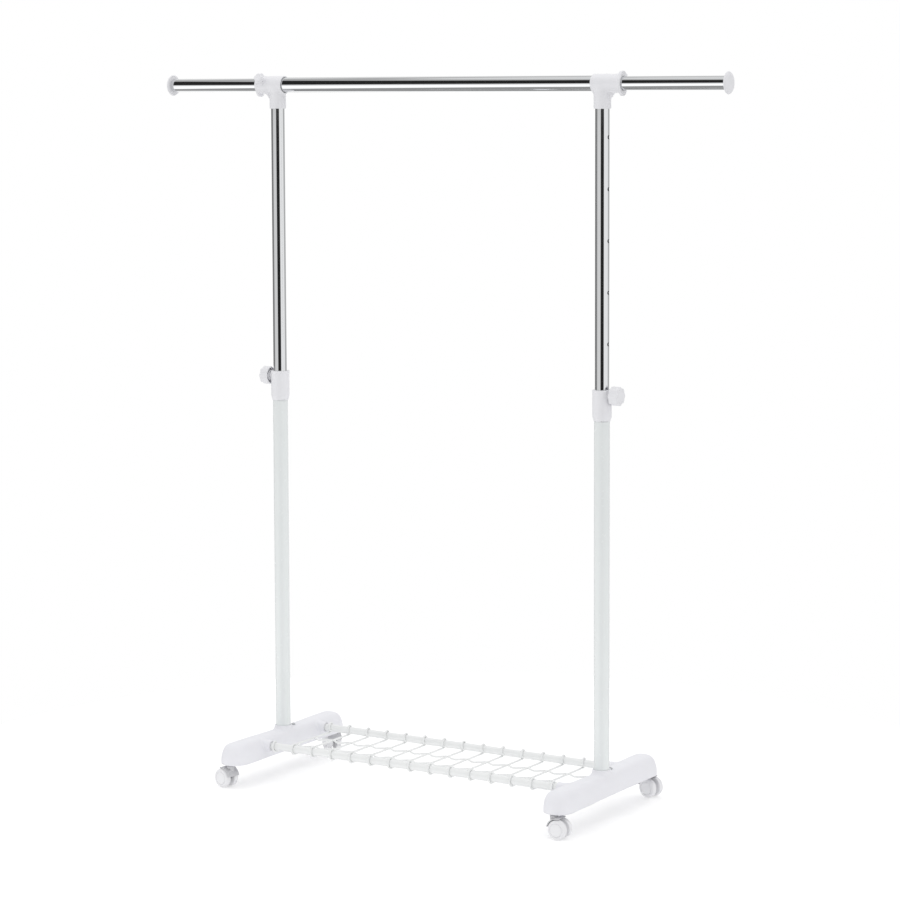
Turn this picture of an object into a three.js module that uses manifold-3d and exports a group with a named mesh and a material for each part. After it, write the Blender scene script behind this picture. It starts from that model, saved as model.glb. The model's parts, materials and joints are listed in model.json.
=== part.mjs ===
// Rolling clothes rack: a wheeled base with two posts, a height-adjustable mast with a hanging
// rail, and an extension rail that slides out of each end of it. Millimetres, +Z up, +X to the
// right, -Y to the front. The origin is on the floor, midway between the posts.

import * as THREE from 'three';
import { mergeVertices } from 'three/addons/utils/BufferGeometryUtils.js';
import Module from 'manifold-3d';

const wasm = await Module();
wasm.setup();

// ---------------------------------------------------------------- driving dimensions

const POST_X = 393;            // post axes, left and right of the middle
const RAIL_Z = 1478;           // height of the hanging rail's axis
const GAP = 0.3;               // clearance between neighbouring pieces
const STANDOFF = 0.4;          // left between a lock's tip and the tube that it holds

const LOWER_POST = { radius: 16, wall: 1.2, bottom: 60, top: 842 };
const UPPER_POST = { radius: 14.5, wall: 1.2, bottom: 669, top: 1457 };
// plastic plugs on the hidden ends of the sliding tubes: flange length and stem length
const GLIDE = { flange: 5, stem: 20 };
const HOLE = { radius: 4, pitch: 103, lowest: 754, count: 7 };

// the foot is a little slimmer and lower at its waist than at its toes
const FOOT = { halfLength: 206, halfWidth: 31, bottom: 48, top: 91, wall: 3.5 };
const FOOT_WAIST = { halfWidth: 29, top: 89 };
const FOOT_RIB = { y: 58, thickness: 3 };
const FOOT_BOSS = 4;           // wall of the bosses inside the foot
const FOOT_SCREW = { y: 35, head: 6, rim: 1.2, crown: 3.4, shank: 2.5, depth: 13, bossDepth: 23 };
const POST_BOLT = { shank: 4, head: 6.5, headHeight: 4.5, recess: 5, top: 92 };
const POST_PLUG_TOP = 95;
const SHELF = { barRadius: 8, barWall: 1.2, barY: 102.5, barZ: 75, barEnd: 376 };
const NET = { wires: 15, pitch: 48.8, wire: 1.5, loop: 10.6, lineY: 34 };
const BAR_SOCKET = { radius: 11.5, reach: 12, depth: 28, inner: 15 };

const COLLAR = { radius: 19.5, bottom: 805, top: 868, taper: 11, bead: 0.6, beadHeight: 6 };
const LOCK_Z = 857;            // height of the locking pins
const BOSS = { radius: 9.5, bore: 6.2, chamber: 17, end: 32.5 };
const KNOB = { radius: 19.2, flute: 1.6, flutes: 8, inner: 22, recess: 34, outer: 43, edge: 2, bevel: 3 };
const PIN = { radius: 3.5, chamfer: 0.8, flange: 5.8, flangeAt: 17.3, flangeWidth: 1.5, end: 39.5 };
const SPRING = { radius: 4.9, wire: 0.5, start: 19.6, end: 27.4, turns: 3 };
const BUSH = { radius: 5.9, bore: 3.9, start: 28 };

const RAIL = { radius: 15.9, wall: 1.2, end: 418 };
const EXTENSION = { radius: 14, wall: 1.2, inner: 262, outer: 668 };
const CAP = { radius: 22.5, face: 17, bevel: 3.5, outer: 676, plug: 12.4, plugLength: 24 };
const TEE = { sleeve: 19, socket: 17.4, bottom: 1428, inboard: 19, outboard: 48, ring: 6 };
const EAR = { radius: 13, offset: 12 };
const GUSSET = { width: 7, drop: 15, reach: 12 };
const RAIL_LOCK = { x: 31, tilt: 60, pad: 7.5, shank: 2.5, headAt: 22.5, headEnd: 34 };
const RAIL_LOCK_HEAD = { radius: 10, flute: 1, flutes: 6 };

const WHEEL = { radius: 20, inner: 5.2, outer: 18, face: 17, bevel: 2.6, bore: 2.8, boreEnd: 15.3 };
const CASTER = { y: 194, trail: 13, stem: 5.5, stemTop: 61, neck: 3, neckBottom: 33 };
// the hood's web, from its hub on the axle to its arm under the housing
const HOOD = { top: 46.5, housing: 8.5, housingBottom: 41.4, web: 4.6, hub: 8 };
const HOOD_ARM = { half: 7, bottom: 30, top: 42 };
const GUARD = { clearance: 0.8, thickness: 2.4, halfWidth: 16, from: 78, to: 168 };
// side and end of the rack, and the direction in which the caster trails, in degrees from +X
const CASTERS = {
  front_left: { side: -1, end: -1, heading: 168 },
  front_right: { side: 1, end: -1, heading: 0 },
  rear_left: { side: -1, end: 1, heading: 147 },
  rear_right: { side: 1, end: 1, heading: -12 },
};

// ---------------------------------------------------------------- materials

const finish = (color, roughness, metalness = 0) =>
  () => new THREE.MeshStandardMaterial({ color, roughness, metalness });

const whitePlastic = finish(0xe9eaee, 0.42);
const whitePaint = finish(0xe4e8e8, 0.3);
const chrome = finish(0xcfd2d4, 0.08, 1);
const steel = finish(0x9a9ea2, 0.35, 1);
const greyPlastic = finish(0x8b8f94, 0.5);
const casterGrey = finish(0xb0b1b5, 0.45);
const darkPlastic = finish(0x2c2e31, 0.5);

// ---------------------------------------------------------------- solids

// A closed three.js geometry as a solid that can be joined and cut.
function solid(geometry) {
  const bare = geometry.clone();
  bare.deleteAttribute('normal');
  bare.deleteAttribute('uv');
  const merged = mergeVertices(bare, 1e-4);
  return new wasm.Manifold(new wasm.Mesh({
    numProp: 3,
    vertProperties: new Float32Array(merged.attributes.position.array),
    triVerts: new Uint32Array(merged.index.array),
  }));
}

function toGeometry(manifold) {
  const mesh = manifold.getMesh();
  const geometry = new THREE.BufferGeometry();
  geometry.setAttribute('position', new THREE.BufferAttribute(mesh.vertProperties, 3));
  geometry.setIndex(new THREE.BufferAttribute(mesh.triVerts, 1));
  geometry.computeVertexNormals();
  return geometry;
}

const join = (first, ...others) => others.reduce((whole, part) => whole.add(part), first);
const cut = (first, ...tools) => tools.reduce((rest, tool) => rest.subtract(tool), first);

// Revolve a list of [radius, height] points about Z, with a flat facing each axis.
function lathe(profile, segments = 24) {
  const points = profile.map(([radius, height]) => new THREE.Vector2(radius, height));
  return new THREE.LatheGeometry(points, segments).rotateX(Math.PI / 2).rotateZ(Math.PI / segments);
}

// A cylinder along Z from bottom to top.
function rod(radius, bottom, top, segments = 24) {
  return lathe([[0, bottom], [radius, bottom], [radius, top], [0, top]], segments);
}

// A round tube along Z, closed on itself.
function pipe(outer, inner, bottom, top, segments = 24) {
  const profile = [[inner, bottom], [outer, bottom], [outer, top], [inner, top], [inner, bottom]];
  return lathe(profile, segments);
}

const alongX = (geometry) => geometry.rotateY(Math.PI / 2);
const alongY = (geometry) => geometry.rotateX(-Math.PI / 2);

function prism(shape, depth, curveSegments = 8) {
  return new THREE.ExtrudeGeometry(shape, { depth, bevelEnabled: false, curveSegments });
}

// A round wire along a curve, with flat ends.
function wireAlong(curve, radius, steps, sides) {
  const section = new THREE.Shape();
  for (let i = 0; i < sides; i += 1) {
    const angle = (2 * Math.PI * i) / sides;
    const point = [radius * Math.cos(angle), radius * Math.sin(angle)];
    if (i === 0) section.moveTo(...point);
    else section.lineTo(...point);
  }
  return new THREE.ExtrudeGeometry(section, { steps, extrudePath: curve, bevelEnabled: false });
}

// A closed skin over rings that have the same number of points, each ring running from +X over
// the top to -X, and following one another along +Y.
function loft(rings) {
  const count = rings[0].length;
  const index = [];
  for (let ring = 0; ring + 1 < rings.length; ring += 1) {
    for (let i = 0; i < count; i += 1) {
      const a = ring * count + i;
      const b = ring * count + ((i + 1) % count);
      index.push(a, a + count, b, b, a + count, b + count);
    }
  }
  const last = (rings.length - 1) * count;
  for (let i = 1; i + 1 < count; i += 1) {
    index.push(0, i, i + 1);
    index.push(last, last + i + 1, last + i);
  }
  const geometry = new THREE.BufferGeometry();
  geometry.setAttribute('position', new THREE.Float32BufferAttribute(rings.flat(2), 3));
  geometry.setIndex(index);
  return geometry;
}

// A knob's outline with shallow finger flutes.
function flutedShape(radius, depth, flutes) {
  const stepsPerFlute = 4;
  const shape = new THREE.Shape();
  for (let i = 0; i < flutes * stepsPerFlute; i += 1) {
    const angle = (2 * Math.PI * i) / (flutes * stepsPerFlute);
    const r = radius - depth * (0.5 - 0.5 * Math.cos(flutes * angle));
    const point = [r * Math.cos(angle), r * Math.sin(angle)];
    if (i === 0) shape.moveTo(...point);
    else shape.lineTo(...point);
  }
  return shape;
}

// ---------------------------------------------------------------- scene helpers

const rack = new THREE.Group();

function place(name, shape, material, parent = rack) {
  const geometry = shape.isBufferGeometry ? shape : toGeometry(shape);
  const mesh = new THREE.Mesh(geometry, material());
  mesh.name = name;
  parent.add(mesh);
  return mesh;
}

// Everything on a post is built once, in a frame whose origin is the foot of the post and whose
// +X points outboard. The left side is the right side turned half round.
function sideGroup(side) {
  const group = new THREE.Group();
  group.position.x = side === 'left' ? -POST_X : POST_X;
  group.rotation.z = side === 'left' ? Math.PI : 0;
  rack.add(group);
  return group;
}

// ---------------------------------------------------------------- feet

// One cross-section of the foot: flat below, with a full rounded top.
function footSection(y, halfWidth, height, bottom) {
  const steps = 6;
  const ring = [];
  for (let i = 0; i <= steps; i += 1) {
    const angle = (Math.PI * i) / steps;
    const across = Math.sign(Math.cos(angle)) * Math.abs(Math.cos(angle)) ** 0.6;
    const up = Math.abs(Math.sin(angle)) ** 0.75;
    ring.push([halfWidth * across, y, bottom + height * up]);
  }
  return ring;
}

// The foot's form, drawn in by inset: round ends in plan, a slight waist, and domed toes.
function footForm(inset, bottom) {
  const halfLength = FOOT.halfLength - inset;
  const stations = 14;
  const nearEnd = 0.997;
  const rings = [];
  for (let i = 0; i <= stations; i += 1) {
    const along = Math.sin((Math.PI / 2) * ((2 * i) / stations - 1));
    const t = Math.min(Math.abs(along), nearEnd);
    const swell = 0.5 - 0.5 * Math.cos(Math.PI * Math.min(t / 0.8, 1));
    const broad = FOOT_WAIST.halfWidth + (FOOT.halfWidth - FOOT_WAIST.halfWidth) * swell - inset;
    const top = FOOT_WAIST.top + (FOOT.top - FOOT_WAIST.top) * swell - inset;
    const intoToe = Math.max(1 - (halfLength * (1 - t)) / broad, 0);
    const width = broad * Math.sqrt(1 - intoToe ** 2);
    const height = (top - bottom) * Math.sqrt(1 - intoToe ** 2.4);
    rings.push(footSection(halfLength * along, width, height, bottom));
  }
  return loft(rings);
}

function foot(screwY) {
  const { bottom, top, wall, halfWidth } = FOOT;
  const { radius: socketRadius, reach, depth, inner } = BAR_SOCKET;
  const socketStart = -halfWidth - reach;
  const above = top + 10;
  const below = bottom - 10;
  const shell = cut(solid(footForm(0, bottom)), solid(footForm(wall, below)));

  // bosses and ribs, kept just inside the outer form
  const bosses = [
    solid(rod(LOWER_POST.radius + FOOT_BOSS, bottom, top)),
    solid(rod(FOOT_SCREW.shank + FOOT_BOSS, top - FOOT_SCREW.bossDepth, top, 12)
      .translate(0, screwY, 0)),
  ];
  const collars = [];
  const holes = [
    solid(rod(LOWER_POST.radius + GAP, LOWER_POST.bottom - GAP, above, 24)),
    solid(rod(POST_BOLT.head + 1, below, bottom + POST_BOLT.recess, 16)),
    solid(rod(POST_BOLT.shank + GAP, bottom, top, 16)),
    solid(rod(FOOT_SCREW.shank + GAP, FOOT_WAIST.top - FOOT_SCREW.depth - 1, above, 12)
      .translate(0, screwY, 0)),
  ];
  for (const end of [-1, 1]) {
    const barY = end * SHELF.barY;
    const casterY = end * CASTER.y;
    const rib = new THREE.BoxGeometry(2 * halfWidth, FOOT_RIB.thickness, top - bottom);
    bosses.push(solid(rib.translate(0, end * FOOT_RIB.y, (top + bottom) / 2)));
    bosses.push(solid(rod(CASTER.stem + FOOT_BOSS, bottom, top, 12).translate(0, casterY, 0)));
    const socket = alongX(rod(socketRadius, -halfWidth, inner, 12));
    bosses.push(solid(socket.translate(0, barY, SHELF.barZ)));
    const collar = alongX(rod(socketRadius, socketStart, -halfWidth + reach, 12));
    collars.push(solid(collar.translate(0, barY, SHELF.barZ)));
    holes.push(solid(rod(CASTER.stem + GAP, 0, CASTER.stemTop + 1, 12).translate(0, casterY, 0)));
    const bore = alongX(rod(SHELF.barRadius + GAP, socketStart - 1, socketStart + depth, 16));
    holes.push(solid(bore.translate(0, barY, SHELF.barZ)));
  }
  const inside = solid(footForm(1, bottom));
  const filled = join(shell, ...bosses.map((boss) => boss.intersect(inside)), ...collars);
  return cut(filled, ...holes);
}

function footScrew(screwY) {
  const { head, rim, crown, shank, depth } = FOOT_SCREW;
  const seat = FOOT_WAIST.top + 2 * GAP;
  const profile = [[0, seat - depth], [shank, seat - depth], [shank, seat], [head, seat],
    [head, seat + rim], [head / 2, seat + crown], [0, seat + crown]];
  return lathe(profile, 12).translate(0, screwY, 0);
}

// The bolt comes up through the foot into a plug inside the post.
function postBolt() {
  const { shank, head, headHeight, recess, top } = POST_BOLT;
  const seat = FOOT.bottom + recess - GAP;
  const hexagon = rod(head, seat - headHeight, seat, 6);
  return join(solid(hexagon), solid(rod(shank, seat - 1, top, 16)));
}

function postPlug() {
  const radius = LOWER_POST.radius - LOWER_POST.wall - GAP;
  return pipe(radius, POST_BOLT.shank + GAP, LOWER_POST.bottom + 1, POST_PLUG_TOP, 16);
}

// ---------------------------------------------------------------- posts

function lowerPost() {
  const { radius, wall, bottom, top } = LOWER_POST;
  return pipe(radius, radius - wall, bottom, top, 24);
}

function upperPost() {
  const { radius, wall, bottom, top } = UPPER_POST;
  const tube = solid(pipe(radius, radius - wall, bottom, top, 24));
  const holes = [];
  for (let i = 0; i < HOLE.count; i += 1) {
    const drill = alongX(rod(HOLE.radius, radius - 5, radius + 5, 12));
    holes.push(solid(drill.translate(0, 0, HOLE.lowest + i * HOLE.pitch)));
  }
  return cut(tube, ...holes);
}

// A plug with a flange below a tube's end and a stem inside it.
function glideProfile(flange, stem, tubeEnd) {
  const start = tubeEnd - GLIDE.flange;
  const seat = tubeEnd - GAP;
  const end = tubeEnd + GLIDE.stem;
  return [[0, start], [flange, start], [flange, seat], [stem, seat], [stem, end], [0, end]];
}

// The plug on the lower end of the upper post, which guides it inside the lower post.
function postGlide() {
  const { radius, wall, bottom } = UPPER_POST;
  return lathe(glideProfile(radius, radius - wall - GAP, bottom), 16);
}

// ---------------------------------------------------------------- height lock

// The collar caps the lower post, guides the upper one, and carries the pin in a side boss.
function heightCollar() {
  const { radius, bottom, top, taper, bead, beadHeight } = COLLAR;
  const bore = LOWER_POST.radius + GAP;
  const lip = UPPER_POST.radius + GAP;
  const step = LOWER_POST.top + GAP;
  const profile = [[bore, bottom], [bore + 1, bottom], [radius, bottom + taper],
    [radius, top - beadHeight], [radius + bead, top - beadHeight + 1], [radius + bead, top - 1],
    [radius - bead, top], [lip, top], [lip, step], [bore, step], [bore, bottom]];
  const boss = alongX(rod(BOSS.radius, lip + 1, BOSS.end, 24)).translate(0, 0, LOCK_Z);
  const body = join(solid(lathe(profile, 24)), solid(boss));
  const pinHole = alongX(rod(PIN.radius + GAP, lip - 5, BOSS.end, 16)).translate(0, 0, LOCK_Z);
  const chamber = alongX(rod(BOSS.bore, BOSS.chamber, BOSS.end + 5, 16)).translate(0, 0, LOCK_Z);
  return cut(body, solid(pinHole), solid(chamber));
}

function lockPin() {
  const { radius, chamfer, flange, flangeAt, flangeWidth, end } = PIN;
  const tip = UPPER_POST.radius + STANDOFF;
  const flangeEnd = flangeAt + flangeWidth;
  const profile = [[0, tip], [radius - chamfer, tip], [radius, tip + chamfer], [radius, flangeAt],
    [flange, flangeAt], [flange, flangeEnd], [radius, flangeEnd], [radius, end], [0, end]];
  return alongX(lathe(profile, 16)).translate(0, 0, LOCK_Z);
}

function lockSpring() {
  class Helix extends THREE.Curve {
    getPoint(t, target = new THREE.Vector3()) {
      const angle = 2 * Math.PI * SPRING.turns * t;
      const x = SPRING.start + (SPRING.end - SPRING.start) * t;
      return target.set(x, SPRING.radius * Math.cos(angle), SPRING.radius * Math.sin(angle));
    }
  }
  return wireAlong(new Helix(), SPRING.wire, SPRING.turns * 8, 4).translate(0, 0, LOCK_Z);
}

function knobBush() {
  return alongX(pipe(BUSH.radius, BUSH.bore, BUSH.start, BOSS.end, 16)).translate(0, 0, LOCK_Z);
}

function heightKnob() {
  const { radius, flute, flutes, inner, recess, outer, edge, bevel } = KNOB;
  const face = radius - flute - 1;
  const body = prism(flutedShape(radius, flute, flutes), outer - inner - edge).translate(0, 0, inner);
  const crown = lathe([[0, outer - edge - 1], [face, outer - edge - 1], [face, outer - edge],
    [face - bevel, outer], [0, outer]], 24);
  const sleeve = solid(rod(BOSS.radius + 2 * GAP, inner - 1, recess, 24));
  const seat = solid(rod(PIN.radius + GAP, recess - 1, PIN.end + GAP, 16));
  return alongX(toGeometry(cut(join(solid(body), solid(crown)), sleeve, seat))).translate(0, 0, LOCK_Z);
}

// ---------------------------------------------------------------- rails

// The ring at the outer mouth of a tee: round, with one ear above and one below.
function earedRing() {
  const lean = Math.asin((TEE.sleeve - EAR.radius) / EAR.offset);
  const shape = new THREE.Shape();
  shape.absarc(0, 0, TEE.sleeve, -lean, lean, false);
  shape.absarc(0, EAR.offset, EAR.radius, lean, Math.PI - lean, false);
  shape.absarc(0, 0, TEE.sleeve, Math.PI - lean, Math.PI + lean, false);
  shape.absarc(0, -EAR.offset, EAR.radius, Math.PI + lean, 2 * Math.PI - lean, false);
  return prism(shape, TEE.ring, 4).rotateX(Math.PI / 2).rotateZ(Math.PI / 2);
}

// Turn a piece built along +Z so that it points up and to the rear, square to the rail.
function toRailLock(geometry) {
  return geometry.rotateX(THREE.MathUtils.degToRad(-RAIL_LOCK.tilt)).translate(RAIL_LOCK.x, 0, RAIL_Z);
}

function tee() {
  const { sleeve, socket, bottom, inboard, outboard, ring } = TEE;
  const skirt = [[0, bottom], [socket - 1, bottom], [socket, bottom + 2], [socket, RAIL_Z], [0, RAIL_Z]];
  const web = new THREE.Shape();
  const webTop = RAIL_Z - sleeve + 2;
  web.moveTo(socket - 2, RAIL_Z - sleeve - GUSSET.drop);
  web.lineTo(socket + GUSSET.reach, webTop);
  web.lineTo(socket - 2, webTop);
  const gusset = prism(web, GUSSET.width).rotateX(Math.PI / 2).translate(0, GUSSET.width / 2, 0);
  const body = join(
    solid(alongX(rod(sleeve, -inboard, outboard - 1, 24)).translate(0, 0, RAIL_Z)),
    solid(lathe(skirt, 24)),
    solid(gusset),
    solid(earedRing().translate(outboard - ring, 0, RAIL_Z)),
    solid(toRailLock(rod(RAIL_LOCK.pad, sleeve - 3, RAIL_LOCK.headAt - 1, 16))),
  );
  const railEnd = RAIL.end - POST_X + 1;
  return cut(
    body,
    solid(rod(UPPER_POST.radius + GAP, bottom - 1, UPPER_POST.top + 1, 24)),
    solid(alongX(rod(RAIL.radius + GAP, -inboard - 1, railEnd, 24)).translate(0, 0, RAIL_Z)),
    solid(alongX(rod(EXTENSION.radius + GAP, 0, outboard + 1, 24)).translate(0, 0, RAIL_Z)),
    solid(toRailLock(rod(RAIL_LOCK.shank + GAP, 5, RAIL_LOCK.headAt, 12))),
  );
}

function mainRail() {
  const { radius, wall, end } = RAIL;
  return alongX(pipe(radius, radius - wall, -end, end, 24)).translate(0, 0, RAIL_Z);
}

function extensionRail() {
  const { radius, wall, inner, outer } = EXTENSION;
  return alongX(pipe(radius, radius - wall, inner, outer, 24)).translate(-POST_X, 0, RAIL_Z);
}

// The plug on the hidden end of the extension rail, which runs inside the main rail.
function railGlide() {
  const { radius, wall, inner } = EXTENSION;
  const flange = RAIL.radius - RAIL.wall - GAP;
  const profile = glideProfile(flange, radius - wall - GAP, inner);
  return alongX(lathe(profile, 16)).translate(-POST_X, 0, RAIL_Z);
}

function endCap() {
  const { radius, face, bevel, outer, plug, plugLength } = CAP;
  const back = EXTENSION.outer + GAP;
  const profile = [[0, back - plugLength], [plug, back - plugLength], [plug, back], [radius, back],
    [radius, outer - bevel], [face, outer], [0, outer]];
  return alongX(lathe(profile, 24)).translate(-POST_X, 0, RAIL_Z);
}

function railLock() {
  const { shank, headAt, headEnd } = RAIL_LOCK;
  const { radius, flute, flutes } = RAIL_LOCK_HEAD;
  const grip = prism(flutedShape(radius, flute, flutes), headEnd - headAt).translate(0, 0, headAt);
  const tip = EXTENSION.radius + STANDOFF;
  const screw = rod(shank, tip, headAt + 1, 12);
  return toRailLock(toGeometry(join(solid(grip), solid(screw))));
}

// ---------------------------------------------------------------- shelf

function shelfBar(y) {
  const { barRadius, barWall, barZ, barEnd } = SHELF;
  return alongX(pipe(barRadius, barRadius - barWall, -barEnd, barEnd, 16)).translate(0, y, barZ);
}

// Cross wires that end in a loop round each bar, welded to two wires along the shelf.
function shelfNet() {
  const { wires, pitch, wire, loop, lineY } = NET;
  const z = SHELF.barZ - loop;
  const half = (wires - 1) / 2;
  const pieces = [];
  for (let i = -half; i <= half; i += 1) {
    const x = i * pitch;
    const cross = alongY(rod(wire, -SHELF.barY, SHELF.barY, 4));
    pieces.push(solid(cross.translate(x, 0, z)));
    for (const side of [-1, 1]) {
      const ring = new THREE.TorusGeometry(loop, wire, 4, 8).rotateY(Math.PI / 2);
      pieces.push(solid(ring.translate(x, side * SHELF.barY, SHELF.barZ)));
    }
  }
  for (const side of [-1, 1]) {
    const line = alongX(rod(wire, -half * pitch, half * pitch, 4));
    pieces.push(solid(line.translate(0, side * lineY, z)));
  }
  return wasm.Manifold.union(pieces);
}

// ---------------------------------------------------------------- casters

function casterStem() {
  const { stem, stemTop, neck, neckBottom } = CASTER;
  const seat = HOOD.top + GAP;
  const profile = [[0, neckBottom], [neck, neckBottom], [neck, seat], [stem, seat],
    [stem, stemTop], [0, stemTop]];
  return lathe(profile, 12);
}

// The hood: a web between the wheels, a mudguard over them, and the swivel's housing.
function casterHood() {
  const { trail, neck, neckBottom } = CASTER;
  const { web } = HOOD;
  const axleZ = WHEEL.radius;
  const webShape = new THREE.Shape();
  webShape.absarc(trail, axleZ, HOOD.hub, -Math.PI * 0.6, Math.PI * 0.25, false);
  webShape.lineTo(HOOD_ARM.half, HOOD_ARM.top);
  webShape.lineTo(-HOOD_ARM.half, HOOD_ARM.top);
  webShape.lineTo(-HOOD_ARM.half, HOOD_ARM.bottom);
  const guardInner = WHEEL.radius + GUARD.clearance;
  const guardOuter = guardInner + GUARD.thickness;
  const from = THREE.MathUtils.degToRad(GUARD.from);
  const to = THREE.MathUtils.degToRad(GUARD.to);
  const guardShape = new THREE.Shape();
  guardShape.absarc(trail, axleZ, guardOuter, from, to, false);
  guardShape.absarc(trail, axleZ, guardInner, to, from, true);
  const standing = (geometry, halfWidth) => geometry.rotateX(Math.PI / 2).translate(0, halfWidth, 0);
  const body = join(
    solid(standing(prism(webShape, 2 * web, 5), web)),
    solid(standing(prism(guardShape, 2 * GUARD.halfWidth, 5), GUARD.halfWidth)),
    solid(rod(HOOD.housing, HOOD.housingBottom, HOOD.top, 12)),
  );
  return cut(
    body,
    solid(rod(neck + GAP, neckBottom - 1, HOOD.top + 1, 8)),
    solid(alongY(rod(WHEEL.bore, -2 * web, 2 * web, 8)).translate(trail, 0, axleZ)),
  );
}

function casterAxle() {
  const half = WHEEL.boreEnd - GAP;
  return alongY(rod(WHEEL.bore - GAP, -half, half, 8)).translate(CASTER.trail, 0, WHEEL.radius);
}

// A wheel with flats that stand on the floor, and a chamfered outer face.
function casterWheel(side) {
  const segments = 16;
  const { inner, outer, face, bevel, bore, boreEnd } = WHEEL;
  const tread = WHEEL.radius / Math.cos(Math.PI / segments);
  const profile = [[0, boreEnd], [bore, boreEnd], [bore, inner], [tread, inner],
    [tread, outer - bevel], [face, outer], [0, outer]];
  const ordered = profile.map(([radius, at]) => [radius, side * at]);
  if (side < 0) ordered.reverse();
  return alongY(lathe(ordered, segments)).translate(CASTER.trail, 0, WHEEL.radius);
}

// ---------------------------------------------------------------- assembly

for (const side of ['left', 'right']) {
  const post = sideGroup(side);
  const screwY = side === 'left' ? -FOOT_SCREW.y : FOOT_SCREW.y;
  place(`${side}_foot`, foot(screwY), whitePlastic, post);
  place(`${side}_foot_screw`, footScrew(screwY), greyPlastic, post);
  place(`${side}_post_bolt`, postBolt(), steel, post);
  place(`${side}_post_plug`, postPlug(), darkPlastic, post);
  place(`${side}_lower_post`, lowerPost(), whitePaint, post);
  place(`${side}_upper_post`, upperPost(), chrome, post);
  place(`${side}_post_glide`, postGlide(), darkPlastic, post);
  place(`${side}_height_collar`, heightCollar(), whitePlastic, post);
  place(`${side}_lock_pin`, lockPin(), steel, post);
  place(`${side}_lock_spring`, lockSpring(), steel, post);
  place(`${side}_knob_bush`, knobBush(), greyPlastic, post);
  place(`${side}_height_knob`, heightKnob(), whitePlastic, post);
  place(`${side}_tee`, tee(), whitePlastic, post);
  place(`${side}_extension_rail`, extensionRail(), chrome, post);
  place(`${side}_rail_glide`, railGlide(), darkPlastic, post);
  place(`${side}_end_cap`, endCap(), whitePlastic, post);
  place(`${side}_rail_lock`, railLock(), whitePlastic, post);
}

place('main_rail', mainRail(), chrome);
place('shelf_front_bar', shelfBar(-SHELF.barY), whitePaint);
place('shelf_rear_bar', shelfBar(SHELF.barY), whitePaint);
place('shelf_net', shelfNet(), whitePaint);

for (const [corner, { side, end, heading }] of Object.entries(CASTERS)) {
  const caster = new THREE.Group();
  caster.position.set(side * POST_X, end * CASTER.y, 0);
  caster.rotation.z = THREE.MathUtils.degToRad(heading);
  rack.add(caster);
  place(`${corner}_caster_stem`, casterStem(), steel, caster);
  place(`${corner}_caster_hood`, casterHood(), casterGrey, caster);
  place(`${corner}_caster_axle`, casterAxle(), steel, caster);
  place(`${corner}_caster_wheel_1`, casterWheel(1), whitePlastic, caster);
  place(`${corner}_caster_wheel_2`, casterWheel(-1), whitePlastic, caster);
}

export default rack;
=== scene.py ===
"""Looks for the rolling clothes rack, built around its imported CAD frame.

Local shapes are in millimetres, in the frame of the post or caster that carries them, and become
metres in the frame's own axes when their mesh is made: +Z up, +X to the right, -Y to the front.
"""

import json
import math

import bpy
import numpy as np
from mathutils import Matrix, Vector


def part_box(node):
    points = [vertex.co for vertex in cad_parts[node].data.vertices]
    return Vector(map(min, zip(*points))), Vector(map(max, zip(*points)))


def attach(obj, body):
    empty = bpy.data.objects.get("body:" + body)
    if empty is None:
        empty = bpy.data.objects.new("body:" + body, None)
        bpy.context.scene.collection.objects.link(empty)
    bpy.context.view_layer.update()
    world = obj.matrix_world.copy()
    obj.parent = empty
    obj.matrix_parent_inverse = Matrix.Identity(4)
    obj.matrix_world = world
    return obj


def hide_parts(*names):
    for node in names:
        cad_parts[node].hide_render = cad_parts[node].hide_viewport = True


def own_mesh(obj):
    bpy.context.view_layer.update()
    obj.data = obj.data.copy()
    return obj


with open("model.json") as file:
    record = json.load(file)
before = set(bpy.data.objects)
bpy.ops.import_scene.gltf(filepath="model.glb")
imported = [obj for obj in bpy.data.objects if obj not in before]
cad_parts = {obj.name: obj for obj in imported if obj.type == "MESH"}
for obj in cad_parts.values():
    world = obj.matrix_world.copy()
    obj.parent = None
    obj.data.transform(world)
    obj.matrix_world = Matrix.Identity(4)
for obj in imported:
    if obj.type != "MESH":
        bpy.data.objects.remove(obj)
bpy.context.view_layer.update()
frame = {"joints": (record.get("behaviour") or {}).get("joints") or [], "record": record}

MM = 0.001
SIDES = {"left": -1, "right": 1}
CORNERS = ("front_left", "front_right", "rear_left", "rear_right")
GAP = 0.3                      # clearance between neighbouring pieces, mm
ROUND = 96                     # segments round a tube
FAR = 3000                     # past the end of any piece, for cutters that run right out, mm

record = frame["record"]
BODY_OF = {node: body for body, nodes in record["behaviour"]["bodies"].items() for node in nodes}
SLOT_OF = {row["node"]: row["material_slot"] for row in record["subparts"]}
COLOR_OF = {row["slot"]: row["base_color"] for row in record["materials"]}


# ---------------------------------------------------------------- sizes, read from the frame

def box(node):
    """Lowest and highest corner of a CAD node, in millimetres."""
    low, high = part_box(node)
    return low / MM, high / MM


POST_X = sum(corner.x for corner in box("right_lower_post")) / 2
RAIL_Z = sum(corner.z for corner in box("main_rail")) / 2


def side_box(name):
    """Box of a right-hand node in the frame of its post, whose +X points outboard."""
    low, high = box(f"right_{name}")
    shift = Vector((POST_X, 0, 0))
    return low - shift, high - shift


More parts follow.
